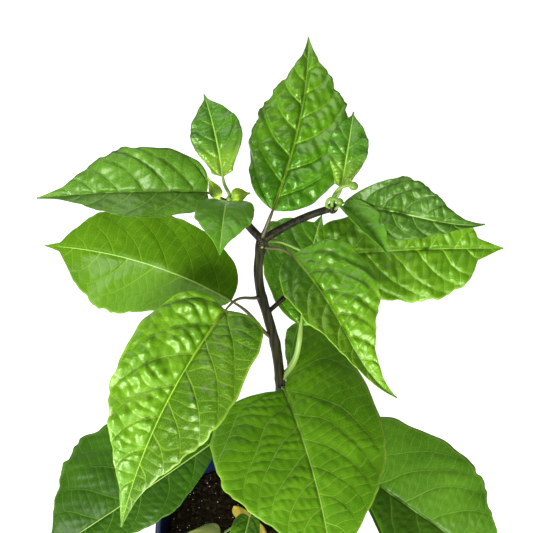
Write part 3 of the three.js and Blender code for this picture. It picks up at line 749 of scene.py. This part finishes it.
def add_bud(name, path, head, stalk):
    """A thin stalk that swells into an egg-shaped closed bud."""
    path = through(path, 70)
    run = run_along(path)
    left = run[-1] - run
    middle = 1.25 * head
    egg = head * np.sqrt(np.clip(1 - ((left - middle) / middle) ** 2, 0.002, 1))
    neck = head * np.exp(-((left - middle) / (1.1 * head)) ** 2)
    size = np.where(left < middle, egg, np.maximum(neck, stalk))
    add_tube(name + "_body", path, size, bud_green, "flower_bud", name, 24, flute_depth=0.03)


def add_hairs(name, middle, reach, count, length, seed):
    """Short pale hairs, three-sided spikes that stand out from a round spot."""
    draw = np.random.default_rng(seed)
    points, faces = [], []
    angle = full_turn(3)[:, None]
    for k in range(count):
        out = unit(draw.normal(size=3) + [0, -0.5, 0.3])
        side = unit(np.cross(out, [0.3, 0.2, 0.9]))
        other = np.cross(out, side)
        foot = np.array(middle) + out * reach
        droop = draw.uniform(-0.3, 0.3, 3)
        tip = foot + (out + droop) * length * draw.uniform(0.6, 1.2)
        ring = foot + HAIR_RADIUS * (np.cos(angle) * side + np.sin(angle) * other)
        points.extend([*ring, tip])
        a = 4 * k
        faces.extend([
            (a, a + 1, a + 3), (a + 1, a + 2, a + 3), (a + 2, a, a + 3), (a + 2, a + 1, a)])
    add_piece(name, points, faces, [pale_hair], "stem_bark")


# Shader nodes
def srgb(red, green, blue):
    """A screen colour, 0 to 255, as the linear colour that Blender wants."""
    share = np.array([red, green, blue]) / 255
    linear = np.where(share <= 0.04045, share / 12.92, ((share + 0.055) / 1.055) ** 2.4)
    return (*linear, 1)


def paints(row):
    """The three colours that a row of a table starts with."""
    return [srgb(*colour) for colour in row[:3]]


def set_inputs(tree, node, inputs):
    """Sets each input of a node to a value, or links it from a socket."""
    for key, value in inputs.items():
        if isinstance(value, bpy.types.NodeSocket):
            tree.links.new(value, node.inputs[key])
        else:
            node.inputs[key].default_value = value


def add_node(tree, kind, inputs, **settings):
    """A shader node with its settings and inputs."""
    made = tree.nodes.new("ShaderNode" + kind)
    for key, value in settings.items():
        setattr(made, key, value)
    set_inputs(tree, made, inputs)
    return made


def maths(tree, operation, *values):
    """The result of a Math node."""
    return add_node(tree, "Math", dict(enumerate(values)), operation=operation).outputs[0]


def mixed(tree, factor, first, second):
    """The first colour where the factor is 0, the second where it is 1."""
    inputs = {0: factor, 6: first, 7: second}
    return add_node(tree, "Mix", inputs, data_type="RGBA").outputs[2]


def ramp_up(tree, value, start, stop):
    """0 at start or below, rising evenly to 1 at stop."""
    inputs = {"Value": value, "From Min": start, "From Max": stop}
    return add_node(tree, "MapRange", inputs).outputs[0]


def ramp_down(tree, value, start, stop):
    """1 at start or below, falling smoothly to 0 at stop."""
    inputs = {"Value": value, "From Min": start, "From Max": stop, "To Min": 1.0, "To Max": 0.0}
    return add_node(tree, "MapRange", inputs, interpolation_type="SMOOTHSTEP").outputs[0]


def from_line(tree, value):
    """Distance of a value from the nearest whole number."""
    share = maths(tree, "FRACT", maths(tree, "ADD", value, 0.5))
    return maths(tree, "ABSOLUTE", maths(tree, "SUBTRACT", share, 0.5))


def new_group(name, inputs):
    """A node group with the named number inputs, and the sockets that they arrive at."""
    group = bpy.data.node_groups.new(name, "ShaderNodeTree")
    for key in inputs:
        group.interface.new_socket(key, in_out="INPUT", socket_type="NodeSocketFloat")
    return group, group.nodes.new("NodeGroupInput").outputs


def close_group(group, results):
    """Gives the group an output for each of its named results."""
    for key in results:
        group.interface.new_socket(key, in_out="OUTPUT", socket_type="NodeSocketFloat")
    set_inputs(group, group.nodes.new("NodeGroupOutput"), results)
    return group


def make_vein_group():
    """Masks read from a leaf's UV maps: veins, rungs, midrib, net, rim, foot and left half."""
    group, entry = new_group("leaf veins", ["Vein Width"])
    veins, rungs, blade = (
        add_node(group, "UVMap", {}, uv_map=key).outputs[0] for key in ("veins", "rungs", "lamina"))
    phase, outward = add_node(group, "SeparateXYZ", {0: veins}).outputs[:2]
    rung, along = add_node(group, "SeparateXYZ", {0: rungs}).outputs[:2]
    side = add_node(group, "SeparateXYZ", {0: blade}).outputs[0]
    vein_width = maths(group, "SUBTRACT", 1.12, outward)
    vein_width = maths(group, "MULTIPLY", vein_width, entry["Vein Width"])
    from_vein = maths(group, "DIVIDE", from_line(group, phase), vein_width)
    rib_width = maths(group, "SUBTRACT", 1.15, along)
    from_rib = maths(group, "DIVIDE", maths(group, "ABSOLUTE", side), rib_width)
    from_rim = maths(group, "SUBTRACT", 1.0, outward)
    cells = add_node(
        group, "TexVoronoi", {"Vector": blade, "Scale": NET_SCALE},
        feature="DISTANCE_TO_EDGE", voronoi_dimensions="2D")
    masks = {
        "Side Vein": (from_vein, 0.3, 1.0), "Rung": (from_line(group, rung), 0.015, 0.075),
        "Midrib": (from_rib, 0.03, 0.075), "Net": (cells.outputs[0], 0.01, 0.12),
        "Rim": (from_rim, 0.0, 0.06), "Base": (along, 0.05, 0.45), "Left Half": (side, -0.1, 0.1),
    }
    return close_group(group, {key: ramp_down(group, *row) for key, row in masks.items()})


def make_speckle_group():
    """Uneven tone at two sizes: a broad cloud and fine grain, both from 0 to 1."""
    group, entry = new_group("uneven tone", ["Broad Scale", "Fine Scale"])
    place = add_node(group, "TexCoord", {}).outputs["Object"]
    results = {}
    for key in ("Broad", "Fine"):
        inputs = {"Vector": place, "Scale": entry[key + " Scale"], "Detail": 3.0}
        noise = add_node(group, "TexNoise", inputs).outputs[0]
        results[key] = ramp_up(group, noise, 0.3, 0.7)
    return close_group(group, results)


VEINS = make_vein_group()
SPECKLE = make_speckle_group()


def speckle(tree, broad, fine):
    """The broad cloud and the fine grain, each at its noise scale."""
    scales = {"Broad Scale": broad, "Fine Scale": fine}
    return add_node(tree, "Group", scales, node_tree=SPECKLE).outputs[:2]


def streaks(tree, scale, detail):
    """Noise with a scale of its own along each axis."""
    place = add_node(tree, "TexCoord", {}).outputs["Object"]
    stretched = add_node(tree, "Mapping", {"Vector": place, "Scale": scale}).outputs[0]
    inputs = {"Vector": stretched, "Scale": 1.0, "Detail": detail}
    return add_node(tree, "TexNoise", inputs).outputs[0]


def new_material(name):
    """A material with a Principled surface, and its node tree."""
    material = bpy.data.materials.new(name)
    material.use_nodes = True
    return material, material.node_tree


def finish(material, inputs, height, strength, distance):
    """The material with its inputs set, and a bump with a distance in millimetres."""
    tree = material.node_tree
    bump = add_node(tree, "Bump", {
        "Height": height, "Strength": strength, "Distance": distance * MM})
    inputs = {**inputs, "Normal": bump.outputs[0]}
    set_inputs(tree, tree.nodes["Principled BSDF"], inputs)
    return material


def make_blade_top(tone):
    """Upper face: cloudy green, pale midrib and side veins, waxy gloss.

    Painted shade darkens its left half by the tone's share in the table of shaded halves, or the
    right one where that share is below zero.
    """
    light, deep, vein = paints(TONES[tone])
    roughness, gloss = TONES[tone][3:]
    margin = srgb(*MARGIN_BROWN) if tone in BROWN_RIMMED else vein
    material, tree = new_material(tone + " green")
    veins = add_node(tree, "Group", {"Vein Width": 0.036}, node_tree=VEINS).outputs
    cloud, grain = speckle(tree, *LEAF_SPECKLE)
    colour = mixed(tree, cloud, deep, light)
    # Painted shade: one half is mixed towards a darker copy of the deep green, as if it faced away
    # from the light
    if tone in SHADED_HALF:
        half = maths(tree, "MULTIPLY_ADD", veins["Left Half"], SHADED_HALF[tone], max(-SHADED_HALF[tone], 0))
        colour = mixed(tree, half, colour, (*(PAINTED_SHADE_SCALE * part for part in deep[:3]), 1))
    ladder = LADDER.get(tone, COMMON_LADDER)
    layers = [("Rung", ladder, vein), ("Net", 0.16, vein), ("Side Vein", 0.62, vein)]
    # At the foot: the shoots' own yellow-green, and painted shade near the stem on the glossy and
    # crown leaves
    if tone in FOOT_TINT_AND_SHADE:
        layers.append(("Base", 0.65, srgb(*FOOT_TINT_AND_SHADE[tone])))
    layers += [("Rim", 0.6, margin), ("Midrib", 0.9, vein)]
    for mask, share, paint in layers:
        colour = mixed(tree, maths(tree, "MULTIPLY", veins[mask], share), colour, paint)
    ridges = maths(tree, "ADD", veins["Side Vein"], veins["Net"])
    grain = maths(tree, "MULTIPLY", grain, 0.35)
    surface = {
        "Base Color": colour, "Roughness": maths(tree, "MULTIPLY_ADD", cloud, 0.1, roughness),
        "Specular IOR Level": gloss, "Specular Tint": SHEEN_TINT, "Coat Weight": 0.6 * gloss,
        "Coat Roughness": 0.24}
    height = maths(tree, "MULTIPLY_ADD", ridges, -0.5, grain)
    return finish(material, surface, height, 0.5, 0.25)


def make_blade_under(tone):
    """Lower face: the same greens, matt, with wide raised veins."""
    light, deep, vein = paints(TONES[tone])
    material, tree = new_material(tone + " underside")
    veins = add_node(tree, "Group", {"Vein Width": 0.07}, node_tree=VEINS).outputs
    cloud = speckle(tree, *LEAF_SPECKLE)[0]
    net = maths(tree, "MULTIPLY", veins["Net"], 0.4)
    web = maths(tree, "MAXIMUM", veins["Side Vein"], net)
    colour = mixed(tree, cloud, deep, light)
    colour = mixed(tree, maths(tree, "MULTIPLY", web, 0.7), colour, vein)
    surface = {"Base Color": colour, "Roughness": 0.6, "Specular IOR Level": 0.35}
    return finish(material, surface, web, 0.5, 0.3)


def make_stalk(name):
    """Stalk and midrib: one colour at the stem, a second at share turn, a third from full on."""
    foot, middle, end = paints(STALKS[name])
    turn, full = STALKS[name][3:]
    material, tree = new_material(name + " stalk")
    place = add_node(tree, "UVMap", {}, uv_map="along").outputs[0]
    along = add_node(tree, "SeparateXYZ", {0: place}).outputs[0]
    cloud, grain = speckle(tree, 160.0, 1600.0)
    colour = mixed(tree, ramp_up(tree, along, 0.0, turn), foot, middle)
    colour = mixed(tree, ramp_up(tree, along, turn, full), colour, end)
    colour = mixed(tree, maths(tree, "MULTIPLY", cloud, 0.05), colour, end)
    surface = {"Base Color": colour, "Roughness": 0.42}
    return finish(material, surface, grain, 0.25, 0.15)


def make_stem_bark():
    """Nearly black skin, olive to brown, with dull pale streaks that run lengthwise."""
    material, tree = new_material("stem bark")
    streak = streaks(tree, (900, 900, 45), 4.0)
    colour = mixed(tree, speckle(tree, 60.0, 1500.0)[0], srgb(12, 12, 5), srgb(24, 17, 12))
    pale = maths(tree, "MULTIPLY", ramp_up(tree, streak, 0.42, 0.68), 0.4)
    colour = mixed(tree, pale, colour, srgb(78, 80, 42))
    surface = {"Base Color": colour, "Roughness": 0.55, "Specular IOR Level": 0.12}
    return finish(material, surface, streak, 0.4, 0.3)


def make_plain(name, dark, pale, roughness, broad=120.0, fine=1200.0, strength=0.4, depth=0.2,
               specular=0.5):
    """A two-tone surface with fine grain."""
    material, tree = new_material(name)
    cloud, grain = speckle(tree, broad, fine)
    colour = mixed(tree, cloud, srgb(*dark), srgb(*pale))
    surface = {"Base Color": colour, "Roughness": roughness, "Specular IOR Level": specular}
    return finish(material, surface, grain, strength, depth)


def make_pot_plastic():
    """Moulded navy plastic: satin, with scuffs that are paler and rougher."""
    material, tree = new_material("pot plastic")
    cloud, grain = speckle(tree, 30.0, 700.0)
    scuff = ramp_up(tree, streaks(tree, (60, 60, 500), 5.0), 0.58, 0.75)
    colour = mixed(tree, cloud, srgb(16, 32, 68), srgb(22, 42, 84))
    colour = mixed(tree, maths(tree, "MULTIPLY", scuff, 0.3), colour, srgb(90, 110, 150))
    surface = {"Base Color": colour, "Roughness": maths(tree, "MULTIPLY_ADD", scuff, 0.2, 0.38)}
    return finish(material, surface, grain, 0.15, 0.1)


# Each tone: the light and the deep green, the veins, roughness and gloss
TONES = {
    "deep": ((80, 140, 4), (58, 116, 0), (140, 188, 56), 0.32, 0.5),
    "crown": ((104, 164, 8), (52, 110, 0), (148, 194, 52), 0.23, 0.6),
    "golden": ((102, 154, 6), (72, 128, 0), (156, 200, 56), 0.26, 0.55),
    "glossy": ((108, 160, 8), (80, 136, 0), (156, 200, 60), 0.28, 0.5),
    "bright": ((98, 150, 8), (74, 128, 0), (154, 198, 60), 0.32, 0.5),
    "pale": ((82, 128, 4), (66, 112, 0), (124, 166, 40), 0.52, 0.2),
    "mid": ((94, 148, 10), (70, 122, 0), (146, 188, 60), 0.4, 0.3),
    "soft": ((88, 140, 28), (62, 112, 10), (144, 188, 80), 0.36, 0.45),
    "cool": ((68, 116, 20), (48, 94, 8), (126, 170, 72), 0.36, 0.45),
    "old": ((80, 130, 18), (58, 106, 4), (122, 164, 60), 0.5, 0.3),
    # shade: darker greens, painted shade for the low left leaf that hangs in shade
    "shade": ((48, 92, 8), (28, 70, 0), (92, 134, 42), 0.5, 0.2),
    "young": ((88, 148, 22), (64, 124, 8), (124, 172, 60), 0.36, 0.5),
    "shoot": ((84, 146, 26), (50, 106, 12), (128, 176, 60), 0.28, 0.6),
    "dusty": ((150, 160, 84), (96, 116, 52), (150, 160, 90), 0.6, 0.2),
    "fresh": ((176, 212, 50), (140, 186, 30), (190, 216, 90), 0.4, 0.4),
}
# What only some tones have: a colour at the foot, a half darkened by painted shade, strength of the
# rungs
# Foot colours: the shoots' own yellow-green, and painted shade near the stem for the glossy and
# crown tones
FOOT_TINT_AND_SHADE = {"shoot": (146, 188, 50), "glossy": (58, 112, 22), "crown": (50, 112, 2)}
# Painted shade on one half: how strongly it is mixed in, and how dark it is as a share of the deep
# green
SHADED_HALF = {"golden": 0.6, "glossy": -0.45, "cool": -0.2, "soft": 0.2, "crown": 0.15}
PAINTED_SHADE_SCALE = 0.4
LADDER = {
    "crown": 0.1, "shoot": 0.1, "fresh": 0.1, "young": 0.15, "cool": 0.18, "soft": 0.18,
    "deep": 0.2,
}
COMMON_LADDER = 0.3
BROWN_RIMMED = ("soft", "cool", "shoot", "crown")
MARGIN_BROWN = (52, 66, 20)
SHEEN_TINT = (0.8, 1, 0.4, 1)
LEAF_SPECKLE = (45.0, 1400.0)

# Each stalk: colours at the stem, halfway and at the tip, and the shares where they change
STALKS = {
    "green": ((98, 116, 52), (136, 172, 70), (176, 212, 94), 0.25, 0.5),
    "brown": ((66, 52, 36), (96, 84, 44), (168, 206, 84), 0.25, 0.5),
    "russet": ((60, 46, 34), (90, 78, 40), (150, 188, 72), 0.3, 0.85),
}

LEAF_FINISH = {tone: (make_blade_top(tone), make_blade_under(tone)) for tone in TONES}
STALK_FINISH = {name: make_stalk(name) for name in STALKS}
stem_bark = make_stem_bark()
soil_mix = make_plain(
    "soil mix", (13, 10, 3), (40, 32, 16), 0.9, 220.0, 1400.0, 0.8, 0.8, specular=0.1)
pot_plastic = make_pot_plastic()
dry_leaf = make_plain("dry yellow leaf", (196, 172, 44), (226, 206, 84), 0.6)
bud_green = make_plain("bud green", (94, 136, 30), (126, 162, 52), 0.45)
pale_hair = make_plain("pale hair", (176, 186, 140), (206, 212, 176), 0.6)
white_grain = make_plain("white grains", (176, 172, 160), (226, 224, 214), 0.85)
bark_chip = make_plain("bark chips", (26, 20, 10), (62, 50, 30), 0.85, specular=0.1)
soil_crumb = make_plain("soil crumbs", (14, 11, 4), (50, 40, 22), 0.9, specular=0.1)


# Stage, lights and camera
def add_stage():
    """A pale floor under the pot that glows a little, large enough to fill the view."""
    mesh = bpy.data.meshes.new("floor")
    corners = np.array([(-1, -1, 0), (1, -1, 0), (1, 1, 0), (-1, 1, 0)]) * FLOOR_REACH * MM
    mesh.from_pydata(corners.tolist(), [], [(0, 1, 2, 3)])
    paint = make_plain("pale floor", (250, 250, 250), (253, 253, 253), 0.9, 2.0, 60.0, 0.02)
    glow = {"Emission Color": (1, 1, 1, 1), "Emission Strength": FLOOR_GLOW}
    set_inputs(paint.node_tree, paint.node_tree.nodes["Principled BSDF"], glow)
    mesh.materials.append(paint)
    floor = add_object("floor", mesh)


def add_light(name, place, size, power):
    """A square soft light that faces the middle of the plant."""
    lamp = bpy.data.lights.new(name, "AREA")
    lamp.size = size * MM
    lamp.energy = power
    light = add_object(name, lamp)
    place = np.array(place)
    light.location = (place + PLANT_OFFSET) * MM
    light.rotation_mode = "QUATERNION"
    light.rotation_quaternion = Vector((AIM - place).tolist()).to_track_quat("-Z", "Y")


def add_camera():
    """The camera that took the photo, as far as it can be told."""
    lens = bpy.data.cameras.new("camera")
    lens.sensor_width = SENSOR
    lens.sensor_fit = "HORIZONTAL"
    lens.lens = SENSOR * FOCAL_PIXELS / PHOTO_SIDE
    camera = add_object("camera", lens)
    camera.location = (CAMERA_TARGET + CAMERA_DISTANCE * TOWARDS_CAMERA) * MM
    camera.rotation_euler = (np.pi / 2 - TILT, 0, 0)
    bpy.context.scene.camera = camera


def add_world():
    """Even white light from all sides, shown without a film look."""
    world = bpy.data.worlds.new("studio")
    world.use_nodes = True
    sky = {"Color": (1, 1, 1, 1), "Strength": SKY_STRENGTH}
    set_inputs(world.node_tree, world.node_tree.nodes["Background"], sky)
    bpy.context.scene.world = world
    bpy.context.scene.view_settings.view_transform = "Standard"


add_camera()
for number, (name, row) in enumerate(LEAVES.items()):
    add_leaf(name, {**COMMON, **row}, 100 + 10 * number)
add_stem()
add_pot()
add_soil()
add_grains("soil_crumbs", 1100, (0.5, 1.7), 0.8, soil_crumb, 31)
add_grains("white_grains", 260, (0.2, 0.55), 0.8, white_grain, 32)
add_grains("bark_chips", 110, (1.0, 2.8), 0.35, bark_chip, 33)
add_fallen_leaf()
for name, bud in BUDS.items():
    add_bud(name, **bud)
for name, row in HAIRS.items():
    add_hairs(name, *row)
add_stage()
add_world()
for name, row in LIGHTS.items():
    add_light(name, *row)
